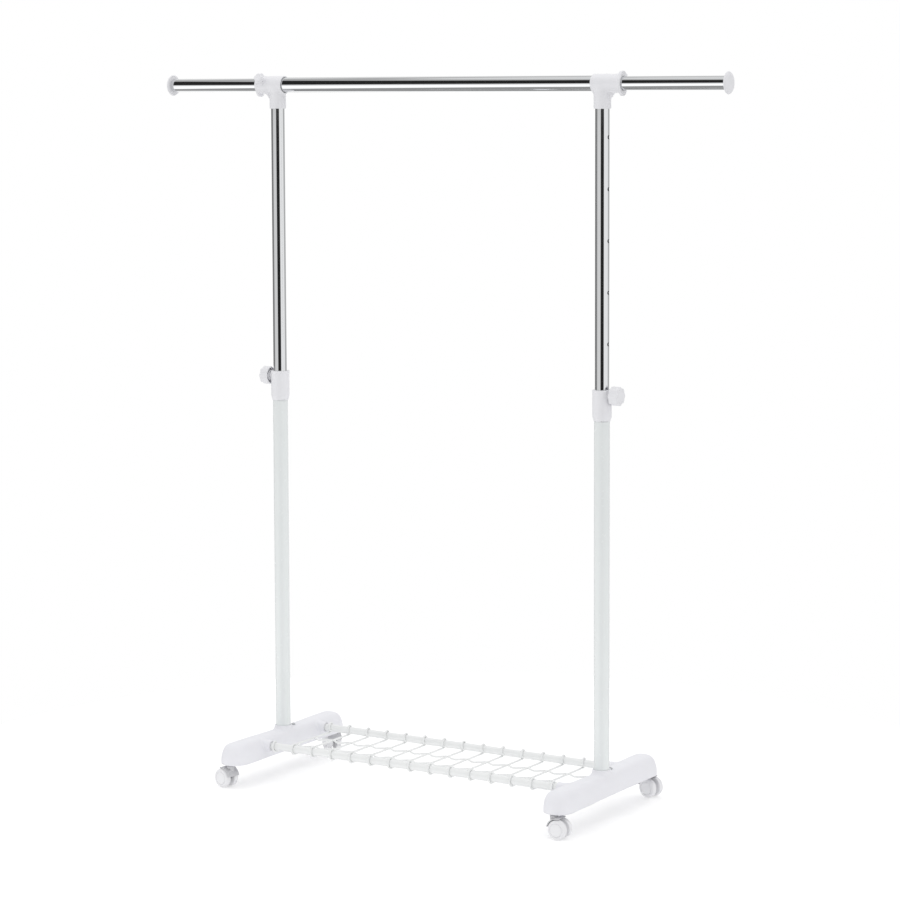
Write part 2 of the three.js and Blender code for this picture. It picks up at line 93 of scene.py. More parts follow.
FOOT_LOW, FOOT_HIGH = side_box("foot")
POST_LOW, POST_HIGH = side_box("lower_post")
MAST_LOW, MAST_HIGH = side_box("upper_post")
COLLAR_LOW, COLLAR_HIGH = side_box("height_collar")
KNOB_LOW, KNOB_HIGH = side_box("height_knob")
PIN_LOW, PIN_HIGH = side_box("lock_pin")
SPRING_LOW, SPRING_HIGH = side_box("lock_spring")
BUSH_LOW, BUSH_HIGH = side_box("knob_bush")
TEE_LOW, TEE_HIGH = side_box("tee")
EXTENSION_LOW, EXTENSION_HIGH = side_box("extension_rail")
CAP_LOW, CAP_HIGH = side_box("end_cap")
SCREW_LOW, SCREW_HIGH = side_box("foot_screw")
BOLT_LOW, BOLT_HIGH = side_box("post_bolt")
PLUG_LOW, PLUG_HIGH = side_box("post_plug")
RAIL_LOW, RAIL_HIGH = box("main_rail")
BAR_LOW, BAR_HIGH = box("shelf_rear_bar")
NET_LOW, NET_HIGH = box("shelf_net")

POST_RADIUS = POST_HIGH.x
MAST_RADIUS = MAST_HIGH.x
RAIL_RADIUS = RAIL_HIGH.z - RAIL_Z
EXTENSION_RADIUS = EXTENSION_HIGH.z - RAIL_Z
BAR_RADIUS = (BAR_HIGH.z - BAR_LOW.z) / 2
BAR_Y = (BAR_HIGH.y + BAR_LOW.y) / 2
BAR_Z = (BAR_HIGH.z + BAR_LOW.z) / 2
WALL = 1.2                     # of every steel tube
LOCK_Z = (PIN_HIGH.z + PIN_LOW.z) / 2
HOLE_PITCH = 103.0             # of the locking holes; the second one is at the pin at rest
HOLE_RADIUS = 4.0
HOLE_COUNT = 7
SCREW_Y = (SCREW_HIGH.y + SCREW_LOW.y) / 2

joints = {joint["name"]: joint for joint in frame["joints"]}
SWIVEL_AT = Vector(joints["rear_right_swivel_turn"]["pos_m"]) / MM
WHEEL_AT = Vector(joints["rear_right_wheel_1_roll"]["pos_m"]) / MM
CASTER_Y = SWIVEL_AT.y
TRAIL = (WHEEL_AT.xy - SWIVEL_AT.xy).length
AXLE_Z = WHEEL_AT.z
STEM_LOW, STEM_HIGH = box("rear_right_caster_stem")
STEM_TOP = STEM_HIGH.z
HOOD_TOP = box("rear_right_caster_hood")[1].z


# ---------------------------------------------------------------- meshes

def side_place(side):
    """Where a post's own frame stands: the left one is the right one turned half round."""
    turn = Matrix.Rotation(math.pi if side == "left" else 0, 4, "Z")
    return Matrix.Translation((SIDES[side] * POST_X * MM, 0, 0)) @ turn


def make_piece(node, points, faces, place=None):
    """A smooth mesh that stands for a CAD node, rides on its body and takes its slot's material."""
    mesh = bpy.data.meshes.new(f"{node}_fine")
    world = (place or Matrix.Identity(4)) @ Matrix.Scale(MM, 4)
    matrix = np.array(world)
    moved = np.asarray(points, float) @ matrix[:3, :3].T + matrix[:3, 3]
    if world.determinant() < 0:
        faces = [tuple(reversed(face)) for face in faces]
    mesh.from_pydata(moved.tolist(), [], [tuple(int(i) for i in face) for face in faces])
    mesh.validate()
    mesh.shade_smooth()
    piece = bpy.data.objects.new(f"{node}_fine", mesh)
    bpy.context.scene.collection.objects.link(piece)
    mesh.materials.append(material_for(SLOT_OF[node]))
    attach(piece, BODY_OF[node])
    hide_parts(node)
    return piece


def rounded(profile, radius, steps=4):
    """A profile with each of its corners rounded, ends apart; a closed one ends where it starts."""
    closed = profile[0] == profile[-1]
    corners = [np.array(point, float) for point in (profile[:-1] if closed else profile)]
    count = len(corners)
    result = []
    for i, corner in enumerate(corners):
        if not closed and i in (0, count - 1):
            result.append(corner)
            continue
        before = corners[i - 1] - corner
        after = corners[(i + 1) % count] - corner
        reach = min(radius, 0.45 * np.linalg.norm(before), 0.45 * np.linalg.norm(after))
        start = corner + before / np.linalg.norm(before) * reach
        end = corner + after / np.linalg.norm(after) * reach
        for step in range(steps + 1):
            t = step / steps
            result.append((1 - t) ** 2 * start + 2 * t * (1 - t) * corner + t * t * end)
    if closed:
        result.append(result[0])
    return [(float(r), float(z)) for r, z in result]


def lathe(profile, segments=ROUND):
    """Revolve [radius, height] points about Z. The profile runs from axis to axis or is closed."""
    closed = profile[0] == profile[-1]
    profile = profile[:-1] if closed else profile
    angles = 2 * np.pi * np.arange(segments) / segments
    points, rings = [], []
    for radius, height in profile:
        if radius < 1e-6:
            rings.append([len(points)] * segments)
            points.append((0, 0, height))
            continue
        rings.append(list(range(len(points), len(points) + segments)))
        points += [(radius * math.cos(a), radius * math.sin(a), height) for a in angles]
    pairs = list(zip(rings, rings[1:])) + ([(rings[-1], rings[0])] if closed else [])
    faces = []
    for low, high in pairs:
        for i in range(segments):
            j = (i + 1) % segments
            face = [low[i], low[j], high[j], high[i]]
            face = list(dict.fromkeys(face))
            if len(face) > 2:
                faces.append(tuple(face))
    return np.array(points), faces


def tube_profile(outer, inner, start, end, edge=0.35):
    ring = [(inner, start), (outer, start), (outer, end), (inner, end), (inner, start)]
    return rounded(ring, edge, 3)


def along_x(points):
    """Turn a shape built along Z so that it lies along X."""
    x, y, z = np.asarray(points).T
    return np.stack([z, y, -x], 1)


def along_y(points):
    """Turn a shape built along Z so that it lies along Y."""
    x, y, z = np.asarray(points).T
    return np.stack([x, z, -y], 1)


def laid(shape, at):
    """A shape built about Z, turned along X and moved."""
    points, faces = shape
    return along_x(points) + at, faces


def wire(path, radius, sides=12, twist_from=(1, 0, 0)):
    """A round wire along a path, with domed ends."""
    path = np.asarray(path, float)
    tangents = np.gradient(path, axis=0)
    tangents /= np.linalg.norm(tangents, axis=1)[:, None]
    across = np.array(twist_from, float)
    dome = [(0.35, 0.94), (0.75, 0.66), (0.97, 0.22)]
    stations = [(path[0] - tangents[0] * radius * d, 0, r) for d, r in reversed(dome)]
    stations += [(point, i, 1) for i, point in enumerate(path)]
    last = len(path) - 1
    stations += [(path[last] + tangents[last] * radius * d, last, r) for d, r in dome]
    angles = 2 * np.pi * np.arange(sides) / sides
    points = []
    for centre, i, share in stations:
        across = across - tangents[i] * (across @ tangents[i])
        across /= np.linalg.norm(across)
        side = np.cross(tangents[i], across)
        for a in angles:
            points.append(centre + radius * share * (math.cos(a) * across + math.sin(a) * side))
    faces = []
    for ring in range(len(stations) - 1):
        for i in range(sides):
            j = (i + 1) % sides
            a = ring * sides
            faces.append((a + i, a + j, a + sides + j, a + sides + i))
    faces.append(tuple(reversed(range(sides))))
    faces.append(tuple(range(len(points) - sides, len(points))))
    return np.array(points), faces


def joined(parts):
    """Several (points, faces) shapes as one."""
    points, faces, start = [], [], 0
    for part_points, part_faces in parts:
        points.append(part_points)
        faces += [tuple(i + start for i in face) for face in part_faces]
        start += len(part_points)
    return np.concatenate(points), faces


# ---------------------------------------------------------------- moulded shapes
# A moulded shape is a distance field: negative inside, with soft joins where a mould has fillets.

def join(a, b, soft=0.5):
    share = np.clip(0.5 + 0.5 * (b - a) / soft, 0, 1)
    return b * (1 - share) + a * share - soft * share * (1 - share)


def overlap(a, b, soft=0.5):
    return -join(-a, -b, soft)


def cut(a, b, soft=0.5):
    return -join(-a, b, soft)


AXIS = {"x": 0, "y": 1, "z": 2}


def box_distance(first, second, edge):
    """Distance to a corner region, from the distances past two faces, rounded by edge."""
    first, second = first + edge, second + edge
    outside = np.hypot(np.maximum(first, 0), np.maximum(second, 0))
    return np.minimum(np.maximum(first, second), 0) + outside - edge


def rod(p, axis, radius, start, end, at=(0, 0, 0), edge=0.5):
    """A cylinder along an axis, from start to end, with rounded rims."""
    i = AXIS[axis]
    others = [k for k in range(3) if k != i]
    radial = np.hypot(p[:, others[0]] - at[others[0]], p[:, others[1]] - at[others[1]]) - radius
    along = np.abs(p[:, i] - (start + end) / 2) - abs(end - start) / 2
    return box_distance(radial, along, edge)


def block(p, low, high, edge=0.5):
    """A box with rounded edges."""
    low, high = np.array(low, float), np.array(high, float)
    past = np.abs(p - (low + high) / 2) - (high - low) / 2 + edge
    outside = np.linalg.norm(np.maximum(past, 0), axis=1)
    return np.minimum(past.max(axis=1), 0) + outside - edge


def fluted(p, radius, depth, flutes, start, end, edge):
    """A knob about Z with shallow finger flutes."""
    angle = np.arctan2(p[:, 1], p[:, 0])
    wave = depth * (0.5 - 0.5 * np.cos(flutes * angle))
    radial = np.hypot(p[:, 0], p[:, 1]) - radius + wave
    along = np.abs(p[:, 2] - (start + end) / 2) - (end - start) / 2
    return box_distance(radial, along, edge)


def thread_groove(x, y, z, pitch, depth):
    """How far a thread about Z cuts into its shank."""
    return depth * np.abs(np.sin(math.pi * (z / pitch + np.arctan2(y, x) / (2 * math.pi))))


def settle(field, points, cell):
    """Move points onto the surface of the field."""
    reach = 0.04
    for _ in range(3):
        value = field(points)
        slope = np.empty_like(points)
        for axis in range(3):
            step = np.zeros(3)
            step[axis] = reach
            slope[:, axis] = (field(points + step) - field(points - step)) / (2 * reach)
        steep = np.maximum((slope ** 2).sum(axis=1), 0.05)
        move = slope * (value / steep)[:, None]
        length = np.linalg.norm(move, axis=1)[:, None]
        points = points - move * np.minimum(1, 0.5 * cell / np.maximum(length, 1e-9))
    return points


def moulded(field, low, high, cell):
    """The surface of a distance field inside a box, as (points, faces)."""
    cell = cell * 1
    low = np.array(low, float) - 2 * cell
    counts = np.ceil((np.array(high, float) + 2 * cell - low) / cell).astype(int) + 1
    lines = [low[i] + cell * np.arange(counts[i]) for i in range(3)]
    grid = np.stack(np.meshgrid(*lines, indexing="ij"), -1).reshape(-1, 3)
    value = field(grid).reshape(counts)
    inside = value < 0
    cells = counts - 1
    total = np.zeros((*cells, 3))
    number = np.zeros(cells)
    crossings = []
    for axis in range(3):
        first = [slice(None)] * 3
        second = [slice(None)] * 3
        first[axis] = slice(None, -1)
        second[axis] = slice(1, None)
        a, b = value[tuple(first)], value[tuple(second)]
        crossing = inside[tuple(first)] != inside[tuple(second)]
        share = np.where(crossing, a / np.where(crossing, a - b, 1), 0)
        crossings.append((crossing, inside[tuple(first)]))
        others = [k for k in range(3) if k != axis]
        for u in (0, 1):
            for v in (0, 1):
                part = [slice(None)] * 3
                part[others[0]] = slice(u, u + cells[others[0]])
                part[others[1]] = slice(v, v + cells[others[1]])
                here = crossing[tuple(part)]
                total[..., axis] += share[tuple(part)]
                total[..., others[0]] += here * u
                total[..., others[1]] += here * v
                number += here
    used = number > 0
    index = np.full(cells, -1)
    index[used] = np.arange(used.sum())
    points = low + cell * (np.argwhere(used) + total[used] / number[used][:, None])
    faces = []
    for axis in range(3):
        b, c = (axis + 1) % 3, (axis + 2) % 3
        crossing, starts_inside = crossings[axis]
        where = np.argwhere(crossing)
        outward = starts_inside[crossing]
        corners = []
        for db, dc in ((-1, -1), (0, -1), (0, 0), (-1, 0)):
            at = where.copy()
            at[:, b] += db
            at[:, c] += dc
            corners.append(index[tuple(at.T)])
        quads = np.stack(corners, 1)
        quads[~outward] = quads[~outward][:, ::-1]
        faces.append(quads)
    return settle(field, points, cell), np.concatenate(faces)


# ---------------------------------------------------------------- materials

materials = {}


def nodes_of(name):
    made = bpy.data.materials.new(name)
    made.use_nodes = True
    tree = made.node_tree
    return made, tree, tree.nodes["Principled BSDF"]


def noise(tree, scale, detail=3.0, roughness=0.5):
    """Noise in the object's own space; scale is in features per metre."""
    where = tree.nodes.new("ShaderNodeTexCoord")
    made = tree.nodes.new("ShaderNodeTexNoise")
    made.inputs["Scale"].default_value = scale
    made.inputs["Detail"].default_value = detail
    made.inputs["Roughness"].default_value = roughness
    tree.links.new(where.outputs["Object"], made.inputs["Vector"])
    return made.outputs["Fac"]


def spread(tree, source, low, high):
    """Map noise to a range."""
    made = tree.nodes.new("ShaderNodeMapRange")
    made.inputs["From Min"].default_value = 0.3
    made.inputs["From Max"].default_value = 0.7
    made.inputs["To Min"].default_value = low
    made.inputs["To Max"].default_value = high
    tree.links.new(source, made.inputs["Value"])
    return made.outputs["Result"]


def blended(tree, a, b, how="MIX", share=1.0):
    """Two colours as one; each value is a number, a colour or another node's output."""
    made = tree.nodes.new("ShaderNodeMix")
    made.data_type = "RGBA"
    made.blend_type = how
    for name, value in (("Factor", share), ("A", a), ("B", b)):
        if isinstance(value, bpy.types.NodeSocket):
            tree.links.new(value, made.inputs[name])
        else:
            made.inputs[name].default_value = value
    return made.outputs["Result"]


def tint(tree, shader, color, darker, source):
    """Base colour between a colour and a slightly darker one."""
    dark = (*[c * darker for c in color], 1)
    mixed = blended(tree, (*color, 1), dark, share=source)
    tree.links.new(mixed, shader.inputs["Base Color"])


def bump(tree, shader, height, strength, distance, base=None):
    made = tree.nodes.new("ShaderNodeBump")
    made.inputs["Strength"].default_value = strength
    made.inputs["Distance"].default_value = distance
    tree.links.new(height, made.inputs["Height"])
    if base is not None:
        tree.links.new(base, made.inputs["Normal"])
    tree.links.new(made.outputs["Normal"], shader.inputs["Normal"])
    return made.outputs["Normal"]


def plastic(slot, roughness, grain, grain_depth):
    """Moulded plastic: fine grain, faint flow marks, and a slightly uneven sheen."""
    made, tree, shader = nodes_of(slot)
    tint(tree, shader, COLOR_OF[slot], 0.95, noise(tree, 22, 4, 0.6))
    polish = spread(tree, noise(tree, 90, 3), roughness - 0.05, roughness + 0.05)
    tree.links.new(polish, shader.inputs["Roughness"])
    fine = bump(tree, shader, noise(tree, grain, 2), 0.18, grain_depth)
    bump(tree, shader, noise(tree, 60, 2), 0.08, 0.0006, fine)
    return made


def coating(slot, roughness, peel):
    """Powder or dipped coat on steel: orange peel under a soft gloss."""
    made, tree, shader = nodes_of(slot)
    tint(tree, shader, COLOR_OF[slot], 0.965, noise(tree, 14, 3))
    polish = spread(tree, noise(tree, 120, 3), roughness - 0.04, roughness + 0.04)
    tree.links.new(polish, shader.inputs["Roughness"])
    wavy = bump(tree, shader, noise(tree, peel, 2, 0.4), 0.3, 0.00012)
    bump(tree, shader, noise(tree, peel * 6, 2), 0.15, 0.00003, wavy)
    return made


def chrome(slot):
    """Bright plate, with the faint haze and draw lines that tube has."""
    made, tree, shader = nodes_of(slot)
    tint(tree, shader, COLOR_OF[slot], 0.97, noise(tree, 30, 2))
    shader.inputs["Metallic"].default_value = 1
    haze = spread(tree, noise(tree, 160, 4), 0.035, 0.075)
    tree.links.new(haze, shader.inputs["Roughness"])
    bump(tree, shader, noise(tree, 45, 2, 0.3), 0.02, 0.0002)
    return made


def zinc(slot):
    """Zinc-plated steel, with fine turning marks and cloudy plating."""
    made, tree, shader = nodes_of(slot)
    tint(tree, shader, COLOR_OF[slot], 0.8, noise(tree, 260, 4, 0.6))
    shader.inputs["Metallic"].default_value = 1
    dull = spread(tree, noise(tree, 700, 3), 0.26, 0.42)
    tree.links.new(dull, shader.inputs["Roughness"])
    bump(tree, shader, noise(tree, 2600, 2), 0.3, 0.00004)
    return made


MAKERS = {
    "foot_plastic": lambda slot: plastic(slot, 0.44, 1300, 0.00007),
    "fitting_plastic": lambda slot: plastic(slot, 0.38, 1500, 0.00005),
    "grey_plastic": lambda slot: plastic(slot, 0.5, 1300, 0.00008),
    "dark_plastic": lambda slot: plastic(slot, 0.5, 1300, 0.00008),
    "caster_grey": lambda slot: plastic(slot, 0.45, 1300, 0.00008),
    "wheel_plastic": lambda slot: plastic(slot, 0.34, 1500, 0.00004),
    "white_paint": lambda slot: coating(slot, 0.24, 420),
    "shelf_coating": lambda slot: coating(slot, 0.36, 380),
    "chrome": chrome,
    "steel": zinc,
}


def material_for(slot):
    if slot not in materials:
        materials[slot] = MAKERS[slot](slot)
    return materials[slot]


# ---------------------------------------------------------------- feet

FOOT_WALL = 3.2
FOOT_RIB = {"y": 58, "half": 1.5}
POST_RING = {"radius": 18.6, "top": FOOT_HIGH.z + 6, "fillet": 8}
BAR_SOCKET = {"radius": 11.5, "bore_end": -15, "end": 15}
BOSS_WALL = 4                  # round the post's and the casters' holes
# the caster's stem, its bolt and its screw, each with the clearance of its hole
STEM_RADIUS = 5.5
BOLT_SHANK = 4
SCREW_SHANK = 2.5
HEX_RECESS = 7.5


def foot_form(p):
    """The foot's outer skin: a round-ended beam, a little slim at the waist, with domed toes."""
    half_length = FOOT_HIGH.y
    half_width = FOOT_HIGH.x
    waist_width, waist_top = 29.0, FOOT_HIGH.z - 2
    waist_reach = 0.8                        # share of the half length that the waist takes
    side_power, toe_drop, top_power = 3.2, 0.9, 2.5
    mean_power, mean_radius = 2.8, 34        # make the field's value roughly millimetres
    x, y, z = p.T
    t = np.minimum(np.abs(y) / half_length / waist_reach, 1)
    swell = 0.5 - 0.5 * np.cos(np.pi * t)
    width = waist_width + (half_width - waist_width) * swell
    height = waist_top + (FOOT_HIGH.z - waist_top) * swell - FOOT_LOW.z
    past = np.maximum(np.abs(y) - (half_length - half_width), 0)
    plan = np.hypot(x * half_width / width, past)
    toe = past ** 2 / (plan ** 2 + 1e-6)
    up = np.maximum(z - FOOT_LOW.z, 0) / height
    shape = (plan / half_width + 1e-9) ** (side_power - toe_drop * toe) + (up + 1e-9) ** top_power
    return (shape ** (1 / mean_power) - 1) * mean_radius


def foot_field(p):
    form = foot_form(p)
    socket = BAR_SOCKET["radius"]
    bosses = [
        rod(p, "z", POST_RADIUS + BOSS_WALL, FOOT_LOW.z, FOOT_HIGH.z),
        rod(p, "z", SCREW_SHANK + 3, FOOT_LOW.z + 20, FOOT_HIGH.z, (0, SCREW_Y, 0)),
    ]
    for end in (-1, 1):
        rib = end * FOOT_RIB["y"]
        bosses += [
            block(p, (-FAR, rib - FOOT_RIB["half"], -FAR), (FAR, rib + FOOT_RIB["half"], FAR)),
            rod(p, "z", STEM_RADIUS + BOSS_WALL, FOOT_LOW.z, FOOT_HIGH.z, (0, end * CASTER_Y, 0)),
            rod(p, "x", socket, -FOOT_HIGH.x, BAR_SOCKET["end"], (0, end * BAR_Y, BAR_Z)),
        ]
    shell = cut(form, form + FOOT_WALL, 0.6)
    inside = form + 1
    for boss in bosses:
        shell = join(shell, overlap(boss, inside, 0.4), 1.5)
    ring = POST_RING
    shell = join(shell, rod(p, "z", ring["radius"], 80, ring["top"], edge=1.5), ring["fillet"])
    for end in (-1, 1):
        collar = rod(p, "x", socket, FOOT_LOW.x, 0, (0, end * BAR_Y, BAR_Z), 1.2)
        shell = join(shell, collar, 4)
    shell = overlap(shell, FOOT_LOW.z - p[:, 2], 1.2)
    holes = [
        rod(p, "z", POST_RADIUS + GAP, POST_LOW.z - GAP, FAR),
        rod(p, "z", HEX_RECESS, -FAR, BOLT_LOW.z + 4.6),
        rod(p, "z", BOLT_SHANK + GAP, -FAR, FAR),
        rod(p, "z", SCREW_SHANK + GAP, SCREW_LOW.z - 1, FAR, (0, SCREW_Y, 0)),
    ]
    for end in (-1, 1):
        holes.append(rod(p, "z", STEM_RADIUS + GAP, -FAR, STEM_TOP + 1, (0, end * CASTER_Y, 0)))
        bar = (0, end * BAR_Y, BAR_Z)
        holes.append(rod(p, "x", BAR_RADIUS + GAP, -FAR, BAR_SOCKET["bore_end"], bar))
    for hole in holes:
        shell = cut(shell, hole, 0.6)
    return shell


def screw_field(p):
    """A pan-head screw with a cross recess."""
    seat = FOOT_HIGH.z - 1.4
    slot_half, slot_reach, slot_floor = 0.6, 2.6, 1.6
    head = (SCREW_HIGH.x - SCREW_LOW.x) / 2
    crown = SCREW_HIGH.z - seat
    at = (0, SCREW_Y, 0)
    x, y, z = p[:, 0], p[:, 1] - SCREW_Y, p[:, 2] - seat
    dome = np.sqrt(x ** 2 + y ** 2 + (np.maximum(z, 0) * head / crown) ** 2) - head
    body = overlap(dome, -z, 0.4)
    body = join(body, rod(p, "z", SCREW_SHANK, SCREW_LOW.z, seat + 1, at), 0.5)
    for across, along in ((x, y), (y, x)):
        slot = np.maximum(np.abs(across) - slot_half, np.abs(along) - slot_reach)
        body = cut(body, np.maximum(slot, slot_floor - z), 0.3)
    return body


def bolt_field(p):
    """A hexagon bolt with a chamfered head and rolled threads near its end."""
    head_top = BOLT_LOW.z + 4.5
    pitch, depth, plain_length = 1.25, 0.35, 18
    flats = (BOLT_HIGH.y - BOLT_LOW.y) / 2 * 0.98
    x, y, z = p.T
    hexagon = np.full(len(p), -1e3)
    for i in range(3):
        angle = math.radians(60 * i)
        hexagon = np.maximum(hexagon, np.abs(x * math.cos(angle) + y * math.sin(angle)) - flats)
    radial = np.hypot(x, y)
    chamfer = (radial - flats * 1.06) * 0.8 - (z - BOLT_LOW.z) * 0.5
    head = box_distance(np.maximum(hexagon, chamfer), np.maximum(BOLT_LOW.z - z, z - head_top), 0.3)
    thread = thread_groove(x, y, z, pitch, depth)
    thread = thread * np.clip(z - head_top - plain_length, 0, 1)
    shank = radial - BOLT_SHANK + thread
    return join(head, np.maximum(shank, np.maximum(head_top - 1 - z, z - BOLT_HIGH.z)), 0.4)


# ---------------------------------------------------------------- posts and rails

def holed_tube(radius, wall, bottom, top, hole_radius, hole_heights):
    """A tube with a column of round holes on its +X side, with a fitted patch round each hole."""
    half = 6                                  # half of the patch, in segments of the tube
    step = 2 * math.pi / ROUND
    patch = half * step * radius              # half of the patch's height
    steps = 2 * half
    heights = [bottom, bottom + 2]
    for centre in hole_heights:
        heights += [centre + patch * (2 * i / steps - 1) for i in range(steps + 1)]
    heights += [top - 2, top]
    starts = [2 + n * (steps + 1) for n in range(len(hole_heights))]
    points, faces = [], []

    def skin(r, outward):
        base = len(points)
        for z in heights:
            for k in range(ROUND):
                points.append((r * math.cos(k * step), r * math.sin(k * step), z))

        def at(level, k):
            return base + level * ROUND + k % ROUND

        rims = []
        for level in range(len(heights) - 1):
            in_patch = any(s <= level < s + steps for s in starts)
            for k in range(-half, ROUND - half):
                if in_patch and k < half:
                    continue
                quad = (at(level, k), at(level, k + 1), at(level + 1, k + 1), at(level + 1, k))
                faces.append(quad if outward else quad[::-1])
        for start, centre in zip(starts, hole_heights):
            edge = [(start, k) for k in range(-half, half)]
            edge += [(start + i, half) for i in range(steps)]
            edge += [(start + steps, k) for k in range(half, -half, -1)]
            edge += [(start + i, -half) for i in range(steps, 0, -1)]
            ring = [at(level, k) for level, k in edge]
            for share in (0.5, 0.85, 1.0):
                inner = []
                for level, k in edge:
                    u, v = k * step * radius, heights[level] - centre
                    aim = math.atan2(v, u)
                    y = hole_radius * math.cos(aim) * share + u * (1 - share)
                    z = hole_radius * math.sin(aim) * share + v * (1 - share)
                    angle = math.asin(y / r) if share == 1.0 else y / radius
                    inner.append(len(points))
                    points.append((r * math.cos(angle), r * math.sin(angle), centre + z))
                for i, first in enumerate(ring):
                    j = (i + 1) % len(ring)
                    quad = (first, ring[j], inner[j], inner[i])
                    faces.append(quad if outward else quad[::-1])
                ring = inner
            rims.append(ring)
        return base, rims

    outer_base, outer_rims = skin(radius, True)
    inner_base, inner_rims = skin(radius - wall, False)
    for outer, inner in zip(outer_rims, inner_rims):
        for i, first in enumerate(outer):
            j = (i + 1) % len(outer)
            faces.append((first, outer[j], inner[j], inner[i]))
    last = (len(heights) - 1) * ROUND
    for k in range(ROUND):
        j = (k + 1) % ROUND
        faces.append((inner_base + k, inner_base + j, outer_base + j, outer_base + k))
        faces.append((outer_base + last + k, outer_base + last + j,
                      inner_base + last + j, inner_base + last + k))
    return np.array(points), faces


def glide(flange, stem, start, seat, end):
    """A tube's end plug: a flange with a wear groove, and a ribbed stem."""
    profile = [(0, start), (flange - 1, start), (flange, start + 1), (flange, start + 1.8),
               (flange - 0.5, start + 2.2), (flange - 0.5, start + 2.8), (flange, start + 3.2),
               (flange, seat), (stem, seat)]
    ribs = 4
    pitch = (end - seat - 3) / ribs
    for i in range(ribs):
        z = seat + 1 + i * pitch
        profile += [(stem, z + pitch * 0.5), (stem - 0.8, z + pitch * 0.6),
                    (stem - 0.8, z + pitch * 0.9), (stem, z + pitch)]
    profile += [(stem - 1, end), (0, end)]
    return lathe(rounded(profile, 0.3, 2), 48)


def end_cap_shape():
    """A push-in cap: a domed disc with a fine groove, over a ribbed plug."""
    radius = CAP_HIGH.z - RAIL_Z
    back = EXTENSION_HIGH.x + GAP
    face = CAP_HIGH.x
    plug = EXTENSION_RADIUS - WALL - 0.4
    profile = [(0, CAP_LOW.x), (plug - 1.5, CAP_LOW.x), (plug, CAP_LOW.x + 2)]
    for i in range(4):
        z = CAP_LOW.x + 4 + 4.5 * i
        profile += [(plug, z), (plug - 0.7, z + 0.8), (plug - 0.7, z + 2), (plug, z + 2.8)]
    profile += [(plug, back), (radius - 1, back), (radius, back + 1.2)]
    dome_steps = 14
    for i in range(dome_steps):
        t = i / (dome_steps - 1)
        reach = radius * (1 - t)
        rise = (1 - (reach / radius) ** 2.6) ** 0.6
        profile.append((reach, back + 2.2 + (face - back - 2.2) * rise))
    return lathe(rounded(profile, 0.5, 2))


# ---------------------------------------------------------------- height lock

PIN_RADIUS = 3.5
KNOB_RADIUS = KNOB_HIGH.z - LOCK_Z
BOSS = {"radius": 9.5, "end": BUSH_HIGH.x, "bore": 6.2, "chamber": 17}


def collar_field(p):
    """The sleeve on the lower post, with the boss that carries the locking pin."""
    x, y, z = p.T
    bottom, top = COLLAR_LOW.z, COLLAR_HIGH.z
    radius, lip, taper_height = 19.5, 1.3, 11
    radial = np.hypot(x, y)
    taper = np.clip((z - bottom) / taper_height, 0, 1)
    taper = taper * taper * (3 - 2 * taper)
    skin = radius - (radius - POST_RADIUS - lip) * (1 - taper)
    body = box_distance(radial - skin, np.maximum(bottom - z, z - top), 1.0)
    bead = rod(p, "z", radius + 0.6, top - 6, top, edge=0.9)
    body = join(body, bead, 0.4)
    boss = rod(p, "x", BOSS["radius"], 10, BOSS["end"], (0, 0, LOCK_Z), 0.8)
    body = join(body, boss, 5)
    clip = block(p, (-4, -22, bottom + 4), (3.5, -18.6, bottom + 9.5), 0.4)
    body = cut(body, clip, 0.5)
    step = POST_HIGH.z + GAP
    holes = [
        rod(p, "z", POST_RADIUS + GAP, -FAR, step),
        rod(p, "z", MAST_RADIUS + GAP, -FAR, FAR),
        rod(p, "x", PIN_RADIUS + GAP, 5, FAR, (0, 0, LOCK_Z)),
        rod(p, "x", BOSS["bore"], BOSS["chamber"], FAR, (0, 0, LOCK_Z)),
    ]
    for hole in holes:
        body = cut(body, hole, 0.5)
    return body


def knob_field(p):
    """The height knob, built about Z and turned outboard afterwards."""
    inner, outer = KNOB_LOW.x, KNOB_HIGH.x
    body = fluted(p, KNOB_RADIUS, 1.8, 8, inner, outer, 2.6)
    radial = np.hypot(p[:, 0], p[:, 1])
    groove = np.hypot(radial - 12.5, p[:, 2] - outer) - 0.7
    body = cut(body, groove, 0.5)
    dish = np.sqrt(radial ** 2 + (p[:, 2] - outer - 58) ** 2) - 59
    body = cut(body, dish, 1)
    sleeve = rod(p, "z", BOSS["radius"] + 0.7, inner - 5, BOSS["end"] + 1.5)
    hollow = np.hypot(radial - 14, np.maximum(p[:, 2] - inner - 12, 0)) - 2.4
    body = cut(body, hollow, 0.6)
    seat = rod(p, "z", PIN_RADIUS + GAP, inner, PIN_HIGH.x + 0.5)
    return cut(cut(body, sleeve, 0.6), seat, 0.4)


def pin_shape():
    flange = (PIN_HIGH.z - PIN_LOW.z) / 2
    seat = BOSS["chamber"] + GAP
    back = seat + 1.5
    profile = [(0, PIN_LOW.x), (PIN_RADIUS - 1.3, PIN_LOW.x), (PIN_RADIUS, PIN_LOW.x + 1.6),
               (PIN_RADIUS, seat), (flange, seat), (flange, back), (PIN_RADIUS, back)]
    for i in range(5):
        z = PIN_HIGH.x - 6 + i
        profile += [(PIN_RADIUS, z), (PIN_RADIUS - 0.25, z + 0.5)]
    profile += [(PIN_RADIUS, PIN_HIGH.x - 0.6), (PIN_RADIUS - 0.6, PIN_HIGH.x), (0, PIN_HIGH.x)]
    return lathe(rounded(profile, 0.25, 2), 48)


